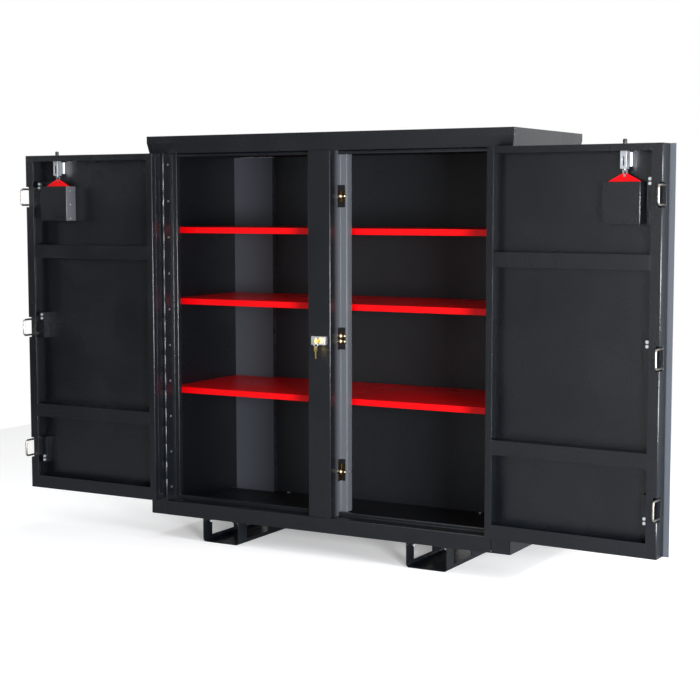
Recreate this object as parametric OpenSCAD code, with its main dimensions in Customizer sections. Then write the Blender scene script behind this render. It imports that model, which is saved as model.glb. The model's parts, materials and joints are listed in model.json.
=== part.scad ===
// Jobsite tool cabinet with two hinged doors, red shelves and fork skids.
// Millimetres. Body pieces are drawn with the underside of the body at z = 0 and
// the front face at y = 0, then moved so that the whole cabinet, doors open,
// stands centred on the origin.

/* [Cabinet body] */
// Width over the lid
cabinet_w = 1650; // [1400:10:1900]
// Depth from the front face to the back face
cabinet_d = 680; // [620:10:800]
// Height from the underside of the body to the top of the lid
body_h = 1580; // [1500:10:1800]
// Thickness of the sheet steel
sheet = 2; // [1.5:0.5:2.5]
// Inner radius of the bends in the frame and the doors
bend_in = 2; // [1:0.5:2.5]
// Height of the skids under the body
skid_h = 96; // [80:1:120]

/* [Lid] */
// How far the lid stands out beyond the body
lid_overhang = 2.5; // [1:0.5:6]
// Height of the upright upper band of the lid
lid_band_h = 28; // [15:1:35]
// Height of the canted lower band of the lid
lid_cant_h = 42; // [30:1:55]
// How far the lower band leans in
lid_cant = 8; // [4:1:12]
// Width of the flange turned in under the lid
lid_flange = 75; // [70:1:85]

/* [Front frame] */
// Width of each front stile
stile_w = 79.5; // [70:0.5:100]
// Height of the bottom rail
rail_h = 62; // [50:1:80]
// Depth of the rebate that the doors close into
rebate_d = 64; // [62:1:70]
// Width of the door stop on the stiles
stop_w = 20; // [12:1:26]
// Height of the sill stop above the bottom rail
sill_stop_h = 15; // [10:1:20]
// Height of the head stop under the lid
head_stop_h = 15; // [10:1:20]
// Depth of the folded return behind the stops
return_d = 22; // [15:1:24]

/* [Centre post] */
// Width of the post front
post_w = 102; // [98:1:120]
// Depth of the post in front of its stop flanges
post_d = 83; // [82:1:86]
// Width of each stop flange beside the post
post_stop_w = 29; // [27:1:32]
// Depth of the folded return behind the stop flanges
post_return_d = 38; // [34:1:45]
// Gap between the post and the closed door's edge
post_gap = 12; // [11:1:14]

/* [Doors] */
// How far the left door stands open, in degrees
left_open = 180; // [170:0.5:180]
// How far the right door stands open, in degrees
right_open = 177; // [170:0.5:179]
// Thickness of the door box behind its outer skin
door_t = 60.5; // [59:0.5:61]
// Distance from the hinge axis to the edge of the door
hinge_gap = 8; // [8:0.5:10]
// How far the hinge axis stands in front of the body
hinge_out = 5.5; // [5.5:0.5:6]
// Overlap of the outer skin beyond the door's free edge
skin_lip = 23; // [16:1:25]
// Gap over the door
door_top_gap = 2; // [2:0.5:4]
// Gap under the door
door_bottom_gap = 8.5; // [6:0.5:12]
// Width of the door's flange on the hinge side
hinge_flange = 28; // [20:1:40]
// Width of the door's flange on the lock side
lock_flange = 41; // [35:1:50]
// Height of the door's top flange
top_flange = 25; // [18:1:30]
// Height of the door's bottom flange
bottom_flange = 54; // [40:1:70]
// Height of each cross rail
cross_rail_h = 55; // [40:1:70]
// Distance from the door's top down to the middle of the upper cross rail
upper_cross_drop = 407; // [330:1:470]
// Distance from the door's bottom up to the middle of the lower cross rail
lower_cross_rise = 341.5; // [300:0.5:430]

/* [Hinges] */
// Outer radius of the hinge knuckles
knuckle_r = 5; // [4.8:0.1:5]
// Radius of the hinge pins
hinge_pin_r = 2.5; // [2:0.1:2.8]
// Number of knuckles along each hinge
knuckles = 19; // [11:2:31]
// Depth of the hinge leaves
leaf_d = 44; // [36:1:50]
// Thickness of the hinge leaves
leaf_t = 2; // [1.5:0.5:2]
// Distance of the hinge from the top and the bottom of the door
leaf_end = 6; // [4:1:20]
// Number of screws along each hinge
hinge_screws = 10; // [6:1:14]

/* [Handle and spring bolt] */
// Distance of the handle from the door's free edge
handle_edge = 151; // [151:1:220]
// Width of the handle cup
cup_w = 142; // [136:1:160]
// Height of the handle cup
cup_h = 145; // [120:1:160]
// Distance from the door's top down to the handle cup
cup_drop = 131; // [129:1:136]
// Width of the pull plate
pull_w = 128; // [100:1:129]
// Height of the pull plate above the cup
pull_h = 28.5; // [24:0.5:30]
// Radius of the spring bolt
bolt_r = 7.5; // [6:0.5:8.5]
// How far the spring bolt stands out over the door
bolt_out = 17; // [12:1:18]
// Travel of the spring bolt
bolt_travel = 20; // [19:1:21]
// Distance of the bolt's axis behind the door's outer face
bolt_depth = 32.5; // [30:0.5:34]
// Width of the bolt housing
housing_w = 24; // [22:1:30]
// Height of the bolt housing
housing_h = 66; // [62:1:72]
// Distance from the door's top down to the bolt housing
housing_drop = 20; // [18:1:21]

/* [Locking] */
// Height of the key above the underside of the body
lock_z = 767; // [740:1:800]
// Width of the lock case
lock_w = 62; // [50:1:80]
// Height of the lock case
lock_h = 32; // [28:1:40]
// How far the lock case stands out
lock_out = 9; // [6:0.5:12]
// Sideways stroke of the lock pins
pin_stroke = 30; // [26:1:32]
// How far the lock pins stand out from the middle of the post
pin_reach = 78; // [76:1:79]
// Radius of the lock pins' thick end
pin_r = 9; // [7:0.5:9.5]
// Distance from the post's front to the axis of the lock pins
pin_depth = 77; // [76:0.5:77]
// Spread of the two middle pins
pin_pair = 22; // [20:1:26]
// Radius of the striker loops' rod
loop_r = 4.25; // [3.5:0.25:4.5]
// Height of a striker loop
loop_h = 76; // [70:1:84]
// How far the striker loops stand out of the door
loop_out = 32; // [31:0.5:34]
// Distance of the striker loops from the door's free edge
loop_edge = 2; // [2:0.5:4]
// Distance from the door's top down to the upper striker loop
upper_loop_drop = 176; // [150:1:200]
// Distance from the door's bottom up to the lower striker loop
lower_loop_rise = 174.5; // [150:0.5:200]

/* [Shelves and rear columns] */
// Height of the lower shelves
lower_shelf_z = 525; // [450:5:600]
// Height of the middle shelves
middle_shelf_z = 904; // [850:5:950]
// Height of the upper shelves
upper_shelf_z = 1205; // [1150:5:1260]
// Distance from the front of the body to the shelves
shelf_front = 144; // [130:1:200]
// Gap behind the shelves
shelf_back_gap = 14; // [8:1:30]
// Depth of the shelves' folded lips
shelf_lip = 25; // [15:1:40]
// Width of each rear column
column_w = 203; // [150:1:240]
// Depth of each rear column
column_d = 34; // [25:1:45]

/* [Skids] */
// Width of each skid
skid_w = 176; // [150:1:220]
// Distance from the middle of each skid to the side of the body
skid_inset = 348.5; // [240:0.5:440]
// Thickness of the skid steel
skid_t = 4; // [3:0.5:6]
// Radius of the skid's lower corners
skid_corner = 14; // [8:1:20]
// Length of each skid's end wall beside its window
skid_leg = 62; // [40:1:90]
// Length of the windows in the skid's walls
skid_window = 165; // [120:5:200]
// Height of the wall left under a skid window
skid_upstand = 20; // [16:1:40]
// Radius of the skid bolts
skid_bolt_r = 5; // [4:0.5:6]

/* [Hidden] */
$fn = 48;

// Running gap between parts that move on each other
slip = 0.05;
// Seating gap between parts that only rest near each other
rest_gap = 0.3;
// Overshoot of a cut beyond the face that it opens
over = 1;

// Main planes of the body
half_w = cabinet_w / 2 - lid_overhang;
opening_x = half_w - stile_w;
body_top = body_h - lid_band_h - lid_cant_h;
return_y = rebate_d + return_d;
stop_x = opening_x - stop_w;
post_x = post_w / 2;
post_stop_x = post_x + post_stop_w;
post_back = post_d + post_return_d;
skid_x = half_w - skid_inset;
// Gap between the inner panels and the frame's returns
panel_gap = 1;
// Width of the flanges that the lid rests on, at the sides and at the back
lid_seat = 40;
lid_rear_seat = 30;

// Door planes, measured from the hinge axis: x along the closed door, y into the body
hinge_x = opening_x - leaf_t / 2;
skin_y = hinge_out - 2.5;
box_y = skin_y + sheet;
face_y = box_y + door_t;
// The rails' webs stop short of the bends in the door's edges
relief_y = face_y - sheet - bend_in;
edge_x = hinge_gap;
free_x = hinge_x - post_x - post_gap;
door_bottom = rail_h + door_bottom_gap;
door_top = body_top - door_top_gap;
cross_zs = [door_top - upper_cross_drop, door_bottom + lower_cross_rise];

// Heights of the striker loops and the lock pins
middle_loop_rise = 4;
lower_pin_drop = 7;
upper_loop_z = door_top - upper_loop_drop;
middle_loop_z = lock_z + middle_loop_rise;
lower_loop_z = door_bottom + lower_loop_rise;
loop_zs = [upper_loop_z, middle_loop_z, lower_loop_z];
pin_zs = [
    upper_loop_z,
    middle_loop_z + pin_pair / 2,
    middle_loop_z - pin_pair / 2,
    lower_loop_z - lower_pin_drop
];

// Striker loops and their brackets, in door planes
loop_x = free_x - loop_edge;
loop_base_y = 38.8;
loop_bar_y = face_y + loop_out;
bracket_t = 4;
nut_edge = 55;
nut_margin = 12;
nut_x = free_x - nut_edge;
bracket_x = nut_x - nut_margin;
bracket_long = 64;
bracket_short = 46;
notch_half = loop_h / 2 + 5;
notch_depth = 14;

// Spring bolt, housing and pull plate, in door planes
bolt_x = free_x - handle_edge;
bolt_y = skin_y + bolt_depth;
cup_top = door_top - cup_drop;
housing_top = door_top - housing_drop;
housing_base = housing_top - housing_h;
bolt_tip_z = door_top + bolt_out;
housing_floor = 3;
spring_solid = 16;
bolt_shoulder_z = housing_base + housing_floor + spring_solid + bolt_travel;
stem_r = 4.5;
chamber_r = bolt_r + 3;
plate_t = 3;
fork_t = 2;
fork_half = 9.5;
fork_play = 1;
plate_y = bolt_y - 2;
rivet_rise = 22;
rivet_z = cup_top + rivet_rise;

// Lock bars inside the post
bar_x = 34;
bar_t = 4;
bar_front = 62;
bar_back = 92;
bar_top = upper_loop_z + 50;
bar_base = lower_loop_z - 60;
yoke_low = 6;
yoke_high = 32;
yoke_y = 48;
yoke_t = 3;
cam_r = pin_stroke / sqrt(2);
cam_pin_r = 3;
cylinder_r = 8;
barrel_r = 12;
barrel_back = 24;

// Keys and ring
key_t = 2.2;
bow_r = 12;
bow_y = -lock_out - 17;
key_tip_y = 12;
blade_half = 4;
bow_hole = 3.4;
bow_hole_drop = 6;
ring_r = 8;
ring_rod = 0.9;
ring_z = lock_z - bow_hole_drop - 1.6 - ring_r;
spare_hole_z = ring_z - ring_r - (bow_hole - ring_rod - 0.1);

// Screws
screw_r = 2.5;
screw_hole_r = screw_r + 0.1;
hinge_screw_y = leaf_d / 2 + 6;
screw_head_r = 4.5;
screw_head_h = 1.5;
guide_screw_y = post_back - 9;
guide_screw_pitch = 22;

// Shift that centres the open cabinet on the origin
front_reach = max(
    loop_x * sin(left_open) - loop_bar_y * cos(left_open),
    loop_x * sin(right_open) - loop_bar_y * cos(right_open)
) + loop_r + hinge_out;
y_shift = (front_reach - cabinet_d - lid_overhang) / 2;
skin_end = free_x + skin_lip;
left_reach = -skin_end * cos(left_open) - skin_y * sin(left_open);
right_reach = -skin_end * cos(right_open) - skin_y * sin(right_open);
x_shift = (left_reach - right_reach) / 2;

// Frames that place the pieces
module in_body() translate([x_shift, y_shift, skid_h]) children();

module on_side(side) mirror([side > 0 ? 1 : 0, 0, 0]) children();

module in_door(side) {
    angle = side < 0 ? left_open : right_open;
    in_body() on_side(side) translate([-hinge_x, -hinge_out, 0]) rotate([0, 0, -angle]) children();
}

module both_sides() {
    children();
    mirror([1, 0, 0]) children();
}

// A box from its low corner to its high corner
module box(low, high) translate(low) cube(high - low);

// A rod along Y, and one along X, from a point
module rod_y(p, length, r) translate(p) rotate([-90, 0, 0]) cylinder(h = length, r = r);

module rod_x(p, length, r) translate(p) rotate([0, 90, 0]) cylinder(h = length, r = r);

// A folded sheet: straight runs between centreline points, square to the axes, with
// a quarter ring at each bend
module folded(points, gauge, inner = bend_in) {
    bend = inner + gauge / 2;
    reach = bend + gauge;
    last = len(points) - 1;
    ways = [for (i = [0 : last - 1]) (points[i + 1] - points[i]) / norm(points[i + 1] - points[i])];
    for (i = [0 : last - 1]) {
        from = points[i] + ways[i] * (i == 0 ? -gauge / 2 : bend);
        to = points[i + 1] + ways[i] * (i == last - 1 ? gauge / 2 : -bend);
        half = [abs(ways[i][1]), abs(ways[i][0])] * gauge / 2;
        translate([min(from[0], to[0]), min(from[1], to[1])] - half)
            square([abs(to[0] - from[0]), abs(to[1] - from[1])] + 2 * half);
    }
    for (i = [1 : 1 : last - 1]) {
        out = ways[i - 1] - ways[i];
        translate(points[i] - out * bend) intersection() {
            difference() {
                circle(bend + gauge / 2);
                circle(inner);
            }
            translate([min(out[0], 0), min(out[1], 0)] * reach) square(reach);
        }
    }
}

// Extrudes a Y-Z outline along X, and an X-Z outline along Y
module along_x(x0, length) translate([x0, 0, 0]) rotate([90, 0, 90]) linear_extrude(length) children();

module along_y(y0, length)
    translate([0, y0 + length, 0]) rotate([90, 0, 0]) linear_extrude(length) children();

// A slot with round ends along Z, cut through a wall along Y
module slot_y(p, width, height, depth) {
    translate(p) rotate([-90, 0, 0]) for (s = [-1, 1])
        translate([0, s * (height - width) / 2, 0]) cylinder(h = depth, r = width / 2);
    box([p[0] - width / 2, p[1], p[2] - (height - width) / 2],
        [p[0] + width / 2, p[1] + depth, p[2] + (height - width) / 2]);
}

// Pan-head screw whose head stands on the plane x = p.x and faces +X
module pan_screw_x(p, depth) {
    rod_x([p[0] - depth, p[1], p[2]], depth + screw_head_h / 2, screw_r);
    rod_x(p, screw_head_h, screw_head_r);
}

// Places of the bolts that hold the skids to the floor
skid_bolt_ys = [skid_leg / 2, cabinet_d / 2, cabinet_d - skid_leg / 2];
skid_flange = 30;

module at_skid_bolts() both_sides() for (y = skid_bolt_ys, s = [-1, 1])
    translate([skid_x + s * (skid_w / 2 - skid_flange / 2 - skid_t), y, 0]) children();

// Heights of the hinge screws
hinge_base = door_bottom + leaf_end;
hinge_top = door_top - leaf_end;
hinge_screw_zs = [for (i = [0 : hinge_screws - 1])
    hinge_base + 38 + i * (hinge_top - hinge_base - 76) / (hinge_screws - 1)];
guide_screw_zs = [for (z = loop_zs, s = [-1, 1]) z + s * guide_screw_pitch / 2];

module floor_panel() color("#202226") in_body() difference() {
    union() {
        box([-half_w + sheet, return_y + panel_gap, 0], [half_w - sheet, cabinet_d - sheet, sheet]);
        box([-stop_x + panel_gap, sheet, 0], [stop_x - panel_gap, return_y + panel_gap, sheet]);
    }
    at_skid_bolts() translate([0, 0, -over]) cylinder(h = sheet + 2 * over, r = skid_bolt_r + 0.5);
}

module back_panel() color("#202226") in_body() {
    box([-half_w + sheet, cabinet_d - sheet, 0], [half_w - sheet, cabinet_d, body_top]);
    box([-half_w + column_w, cabinet_d - lid_rear_seat, body_top - sheet],
        [half_w - column_w, cabinet_d - sheet, body_top]);
}

module side_panel(side) color("#2a2c30") in_body() on_side(side) {
    box([-half_w, 0, 0], [-half_w + sheet, cabinet_d, body_top]);
    box([-half_w + sheet, return_y + panel_gap, body_top - sheet],
        [-half_w + lid_seat, cabinet_d - column_d - sheet, body_top]);
}

module lid_block(inset, z0) {
    w = half_w + lid_overhang - inset;
    front = -lid_overhang + inset;
    back = cabinet_d + lid_overhang - inset;
    top = body_h - (inset > 0 ? sheet : 0);
    bend = body_h - lid_band_h;
    lean = lid_cant * (bend - z0) / lid_cant_h;
    intersection() {
        along_y(front - over, back - front + 2 * over)
            polygon([[-w, top], [-w, bend], [-w + lean, z0], [w - lean, z0], [w, bend], [w, top]]);
        along_x(-w - over, 2 * w + 2 * over)
            polygon([[front, top], [front, bend], [front + lean, z0],
                [back - lean, z0], [back, bend], [back, top]]);
    }
}

module roof_lid() color("#2f3136") in_body() difference() {
    lid_block(0, body_top);
    lid_block(sheet, body_top + sheet);
    box([-half_w + lid_seat, lid_flange, body_top - over],
        [half_w - lid_seat, cabinet_d - lid_rear_seat, body_top + 2 * sheet]);
    both_sides() translate([bolt_x - hinge_x, bolt_y - hinge_out, body_top - over])
        cylinder(h = sheet + 2 * over, r = bolt_r + 1);
}

module head_rail() color("#26282c") in_body() along_x(-stop_x, 2 * stop_x) folded([
    [return_y - sheet / 2, body_top - sheet / 2],
    [rebate_d + sheet / 2, body_top - sheet / 2],
    [rebate_d + sheet / 2, body_top - head_stop_h + sheet / 2],
    [return_y - sheet / 2, body_top - head_stop_h + sheet / 2]
], sheet);

module bottom_rail() color("#2a2c30") in_body() difference() {
    along_x(-opening_x, 2 * opening_x) folded([
        [sheet / 2, sheet / 2],
        [sheet / 2, rail_h - sheet / 2],
        [rebate_d + sheet / 2, rail_h - sheet / 2],
        [rebate_d + sheet / 2, rail_h + sill_stop_h - sheet / 2],
        [return_y - sheet / 2, rail_h + sill_stop_h - sheet / 2],
        [return_y - sheet / 2, 1.5 * sheet]
    ], sheet);
    both_sides() box([stop_x, rebate_d, -over],
        [opening_x + over, return_y + over, rail_h + sill_stop_h + over]);
}

module stile(side) color("#2a2c30") in_body() on_side(side) difference() {
    linear_extrude(body_top) folded([
        [-half_w + 1.5 * sheet, return_y - sheet / 2],
        [-half_w + 1.5 * sheet, sheet / 2],
        [-opening_x - sheet / 2, sheet / 2],
        [-opening_x - sheet / 2, rebate_d + sheet / 2],
        [-stop_x - sheet / 2, rebate_d + sheet / 2],
        [-stop_x - sheet / 2, return_y - sheet / 2]
    ], sheet);
    for (z = hinge_screw_zs)
        rod_x([-opening_x - sheet - over, hinge_screw_y, z], sheet + 2 * over, screw_hole_r);
}

module post_outline() {
    both_sides() folded([
        [0, sheet / 2],
        [post_x - sheet / 2, sheet / 2],
        [post_x - sheet / 2, post_d + sheet / 2],
        [post_stop_x - sheet / 2, post_d + sheet / 2],
        [post_stop_x - sheet / 2, post_back - sheet / 2]
    ], sheet);
}

// Slots beside the post for the striker loops, with short cross cuts at the pins
module strike_slots() {
    slot_x = hinge_x - loop_x + loop_r + 2;
    slot_front = post_d - 23;
    slot_half = loop_h / 2 + 5.5;
    cut = 6;
    for (z = loop_zs)
        box([post_x - sheet - over, slot_front, z - slot_half],
            [slot_x, post_d + sheet + over, z + slot_half]);
    for (z = pin_zs) {
        box([post_x - sheet - over, slot_front - cut, z - cut], [post_x + over, slot_front + over, z + cut]);
        box([slot_x - over, post_d - over, z - cut],
            [post_stop_x - 2 * sheet, post_d + sheet + over, z + cut]);
    }
}

module centre_post() color("#26292d") in_body() difference() {
    translate([0, 0, rail_h]) linear_extrude(body_top - rail_h) post_outline();
    box([-post_stop_x - over, rebate_d, rail_h - over],
        [post_stop_x + over, post_back + over, rail_h + sill_stop_h]);
    box([-post_stop_x - over, rebate_d, body_top - head_stop_h],
        [post_stop_x + over, post_back + over, body_top + over]);
    both_sides() strike_slots();
    rod_y([0, -over, lock_z], sheet + 2 * over, barrel_r + rest_gap);
    both_sides() for (z = guide_screw_zs)
        rod_x([post_stop_x - sheet - over, guide_screw_y, z], sheet + 2 * over, screw_hole_r);
}

// Joggled straps behind the lock bars that guide them, screwed between the post's returns
guide_t = 3;
guide_y = bar_back + rest_gap;
wing_y = loop_bar_y + loop_r - hinge_out + 1;

module bar_guide(z, height) {
    web_x = post_x - sheet - guide_t / 2;
    ear_x = post_stop_x - sheet - guide_t / 2;
    difference() {
        translate([0, 0, z - height / 2]) linear_extrude(height) both_sides() folded([
            [0, guide_y + guide_t / 2],
            [web_x, guide_y + guide_t / 2],
            [web_x, wing_y + guide_t / 2],
            [ear_x, wing_y + guide_t / 2],
            [ear_x, post_back - guide_t]
        ], guide_t, 0.5);
        both_sides() for (s = [-1, 1])
            rod_x([ear_x - guide_t, guide_screw_y, z + s * guide_screw_pitch / 2], 2 * guide_t, screw_hole_r);
    }
}

module bar_guides() color("#8a8d91") in_body() {
    foot_x = post_x - sheet;
    foot_top = bar_base - rest_gap;
    guide_h = 44;
    for (z = loop_zs) bar_guide(z, guide_h);
    box([-foot_x, bar_front, foot_top - guide_t], [foot_x, guide_y, foot_top]);
    box([-foot_x, guide_y, foot_top - guide_t], [foot_x, guide_y + guide_t, lower_loop_z - guide_h / 2]);
}

module frame_screws() color("#c9ccd0") in_body() {
    both_sides() for (z = hinge_screw_zs)
        pan_screw_x([-opening_x + leaf_t, hinge_screw_y, z], leaf_t + sheet + 4);
    both_sides() for (z = guide_screw_zs)
        pan_screw_x([post_stop_x, guide_screw_y, z], sheet + 5);
}

// Rear corner columns with a knock-out disc and a row of slots in the step face
module rear_columns() color("#17191d") in_body() both_sides() difference() {
    x0 = half_w - column_w;
    front = cabinet_d - sheet - column_d;
    knock_r = 33;
    knock_edge = 91;
    knock_drop = 45;
    slot_front = front + 12;
    slot_w = 6;
    slot_h = 24;
    slot_pitch = 75;
    slot_margin = 90;
    union() {
        box([x0, front, sheet], [half_w - sheet, front + sheet, body_top - sheet]);
        box([x0, front + sheet, sheet], [x0 + sheet, cabinet_d - sheet, body_top - sheet]);
        rod_y([x0 + knock_edge, front - 1, body_top - knock_drop], 1.5, knock_r);
    }
    for (z = [slot_margin + 30 : slot_pitch : body_top - slot_margin])
        box([x0 - over, slot_front, z], [x0 + sheet + over, slot_front + slot_w, z + slot_h]);
}

// A red tray shelf for one bay, cut back at the rear corner column
module shelf(side, top) color("#e8121c") in_body() on_side(side) difference() {
    inner_x = -1.5;
    x0 = -half_w + sheet + 1.5;
    y1 = cabinet_d - sheet - shelf_back_gap;
    notch_x = -half_w + column_w + 3;
    notch_y = cabinet_d - 2 * sheet - column_d - 2;
    base = top - shelf_lip - over;
    box([x0, shelf_front, top - shelf_lip], [inner_x, y1, top]);
    box([x0 + sheet, shelf_front + sheet, base], [inner_x - sheet, notch_y - sheet, top - sheet]);
    box([notch_x + sheet, notch_y - sheet - over, base], [inner_x - sheet, y1 - sheet, top - sheet]);
    box([x0 - over, notch_y, base], [notch_x, y1 + over, top + over]);
}

// Angle brackets under the shelves, on the side panels, the post and the back panel
clip_t = 3;
clip_w = 28;
clip_h = 30;
clip_half = 20;
clip_front = 60;
clip_rear = 160;
post_clip_w = 18;
post_clip_h = 24;
post_clip_lap = 12;
post_clip_reach = 25;

module shelf_clips() color("#17191d") in_body() for (top = [lower_shelf_z, middle_shelf_z, upper_shelf_z]) {
    seat = top - shelf_lip;
    side_x = half_w - sheet;
    jamb_x = post_stop_x - sheet;
    back_y = cabinet_d - sheet;
    both_sides() for (y = [shelf_front + clip_front, cabinet_d - clip_rear]) {
        box([side_x - clip_w, y - clip_half, seat - clip_t], [side_x, y + clip_half, seat]);
        box([side_x - clip_t, y - clip_half, seat - clip_h], [side_x, y + clip_half, seat - clip_t]);
    }
    both_sides() {
        box([jamb_x - post_clip_w, post_back - post_clip_lap, seat - clip_t],
            [jamb_x, shelf_front + post_clip_reach, seat]);
        box([jamb_x - clip_t, post_back - post_clip_lap, seat - post_clip_h],
            [jamb_x, post_back, seat - clip_t]);
    }
    box([-clip_h, back_y - 2 * clip_half, seat - clip_t], [clip_h, back_y, seat]);
    box([-clip_h, back_y - clip_t, seat - clip_h], [clip_h, back_y, seat - clip_t]);
}

// Skid outline: a channel with rounded lower corners and flanges under the floor
module skid_half(inset) {
    w = skid_w / 2 - inset;
    r = skid_corner - inset;
    translate([-w, -skid_h + inset + r]) square([2 * w, skid_h - inset - r]);
    translate([-w + r, -skid_h + inset]) square([2 * (w - r), r + over]);
    for (s = [-1, 1]) translate([s * (w - r), -skid_h + inset + r]) circle(r);
}

module skid(side) color("#2a2c30") in_body() on_side(side) translate([-skid_x, 0, 0]) difference() {
    along_y(0, cabinet_d) difference() {
        skid_half(0);
        difference() {
            skid_half(skid_t);
            for (s = [-1, 1]) translate([s * (skid_w / 2 - skid_flange / 2) - skid_flange / 2, -skid_t])
                square([skid_flange, skid_t + over]);
        }
    }
    for (y = [skid_leg, cabinet_d - skid_leg - skid_window])
        box([-skid_w / 2 - over, y, -skid_h + skid_upstand],
            [skid_w / 2 + over, y + skid_window, -skid_t]);
    for (y = skid_bolt_ys, s = [-1, 1])
        translate([s * (skid_w / 2 - skid_flange / 2 - skid_t), y, -skid_t - over])
            cylinder(h = skid_t + 2 * over, r = skid_bolt_r + 0.5);
}

module skid_bolts() color("#b9bcc1") in_body() at_skid_bolts() {
    hex_r = 1.6 * skid_bolt_r;
    head_h = 1.2 * skid_bolt_r;
    nut_h = 1.6 * skid_bolt_r;
    thread_end = -skid_t - 2.4 * skid_bolt_r;
    translate([0, 0, sheet]) cylinder(h = head_h, r = hex_r, $fn = 6);
    translate([0, 0, thread_end]) cylinder(h = sheet + 0.5 - thread_end, r = skid_bolt_r);
    translate([0, 0, -skid_t - nut_h]) cylinder(h = nut_h, r = hex_r, $fn = 6);
}

// Lock case: an oblong with bowed top and bottom, its barrel and the nut that clamps it
module lock_case() color("#d8dade") in_body() difference() {
    bow = 4;
    arc_r = (lock_w * lock_w / 4 + bow * bow) / (2 * bow);
    union() {
        translate([0, 0, lock_z]) along_y(-lock_out, lock_out) intersection() {
            square([lock_w, lock_h + over], center = true);
            for (s = [-1, 1]) translate([0, s * (lock_h / 2 - arc_r)]) circle(arc_r, $fn = 180);
        }
        rod_y([0, 0, lock_z], barrel_back, barrel_r);
        rod_y([0, sheet, lock_z], 5, barrel_r + 5);
    }
    rod_y([0, -lock_out - over, lock_z], lock_out + barrel_back + 2 * over, cylinder_r + slip);
}

// Lock cylinder with its keyway, the cam behind it and the cam's two drive pins
module lock_cylinder() color("#c9a34a") in_body() translate([0, 0, lock_z]) difference() {
    cam_y = yoke_y - 8;
    cam_t = 4;
    cam_half = 2 * cam_pin_r;
    union() {
        rod_y([0, -lock_out - 2, 0], cam_y + cam_t + lock_out + 2, cylinder_r);
        rotate([0, -45, 0])
            box([-cam_r - 5, cam_y, -cam_half], [cam_r + 5, cam_y + cam_t, cam_half]);
        for (s = [-1, 1])
            rod_y([s * pin_stroke / 2, cam_y, s * pin_stroke / 2], yoke_y + yoke_t + 2 - cam_y, cam_pin_r);
    }
    box([-key_t / 2 - 0.2, -lock_out - 2 - over, -blade_half - rest_gap],
        [key_t / 2 + 0.2, key_tip_y + 1, blade_half + rest_gap]);
}

// Key along +Y with its bow centred on the origin and notches in one edge of its blade
module key_shape(hole) difference() {
    union() {
        rod_x([-key_t / 2, 0, 0], key_t, bow_r);
        box([-key_t / 2, 0, -blade_half], [key_t / 2, key_tip_y - bow_y, blade_half]);
    }
    cut_y = 18;
    cut_pitch = 5;
    cut_w = 2;
    cut_depth = 1.5;
    rod_x([-key_t / 2 - over, hole[0], hole[1]], key_t + 2 * over, bow_hole);
    for (i = [0 : 3])
        box([-key_t / 2 - over, cut_y + cut_pitch * i, blade_half - cut_depth - 0.5 * (i % 2)],
            [key_t / 2 + over, cut_y + cut_pitch * i + cut_w, blade_half + over]);
}

module key() color("#c8963c") in_body() translate([0, bow_y, lock_z]) key_shape([0, -bow_hole_drop]);

module key_ring() color("#c9ccd0") in_body()
    translate([0, bow_y, ring_z]) rotate([90, 0, 0]) rotate_extrude() translate([ring_r, 0]) circle(ring_rod);

module spare_key() color("#c8963c") in_body()
    translate([0, bow_y, spare_hole_z - bow_hole_drop]) rotate([-90, 0, 0]) key_shape([-bow_hole_drop, 0]);

// Lock bar with its yoke: the left yoke lies under the key, the right one over it
module bolt_bar(side) color("#b08a4a") in_body() on_side(side) difference() {
    yoke_x = pin_stroke / 2;
    slot_x = cam_pin_r + 1;  // half the slot's width, with 1 mm to spare on both sides
    union() {
        box([-bar_x - bar_t / 2, bar_front, bar_base], [-bar_x + bar_t / 2, bar_back, bar_top]);
        translate([0, 0, lock_z]) mirror([0, 0, side > 0 ? 0 : 1]) {
            box([-bar_x - bar_t / 2, yoke_y, yoke_low], [-bar_x + bar_t / 2, bar_front, yoke_high]);
            box([-bar_x - bar_t / 2, yoke_y, yoke_low], [-yoke_x + slot_x + 5, yoke_y + yoke_t, yoke_high]);
        }
    }
    translate([0, 0, lock_z]) mirror([0, 0, side > 0 ? 0 : 1])
        box([-yoke_x - slot_x, yoke_y - over, yoke_x - slot_x],
            [-yoke_x + slot_x, yoke_y + yoke_t + over, cam_r + slot_x]);
}

// Bobbin-shaped lock pins: a collar on the bar, a thick bulb, a waist and a smaller tip
module lock_pins(side) color("#d9c08a") in_body() on_side(side) for (z = pin_zs) {
    tip_r = 5.5;
    collar_t = 4;
    bulb_x = post_x + 2;
    base_x = bar_x + bar_t / 2;
    translate([0, pin_depth, z]) rotate([0, -90, 0]) rotate_extrude() intersection() {
        translate([0, base_x]) square([2 * pin_r, pin_reach]);
        union() {
            translate([0, base_x]) square([pin_r - 2, collar_t]);
            translate([0, base_x]) square([pin_r / 2, pin_reach - tip_r - base_x]);
            translate([0, bulb_x]) circle(pin_r);
            translate([0, pin_reach - tip_r]) circle(tip_r);
        }
    }
}

// Knuckles of one hinge leaf, every other one from the first, joined by the webs given as child
knuckle_pitch = (hinge_top - hinge_base) / knuckles;
knuckle_play = 0.2;
leaf_clear = 0.6;

module knuckle_row(first) for (i = [first : 2 : knuckles - 1])
    translate([0, 0, hinge_base + i * knuckle_pitch + knuckle_play]) {
        cylinder(h = knuckle_pitch - 2 * knuckle_play, r = knuckle_r);
        children();
    }

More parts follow.
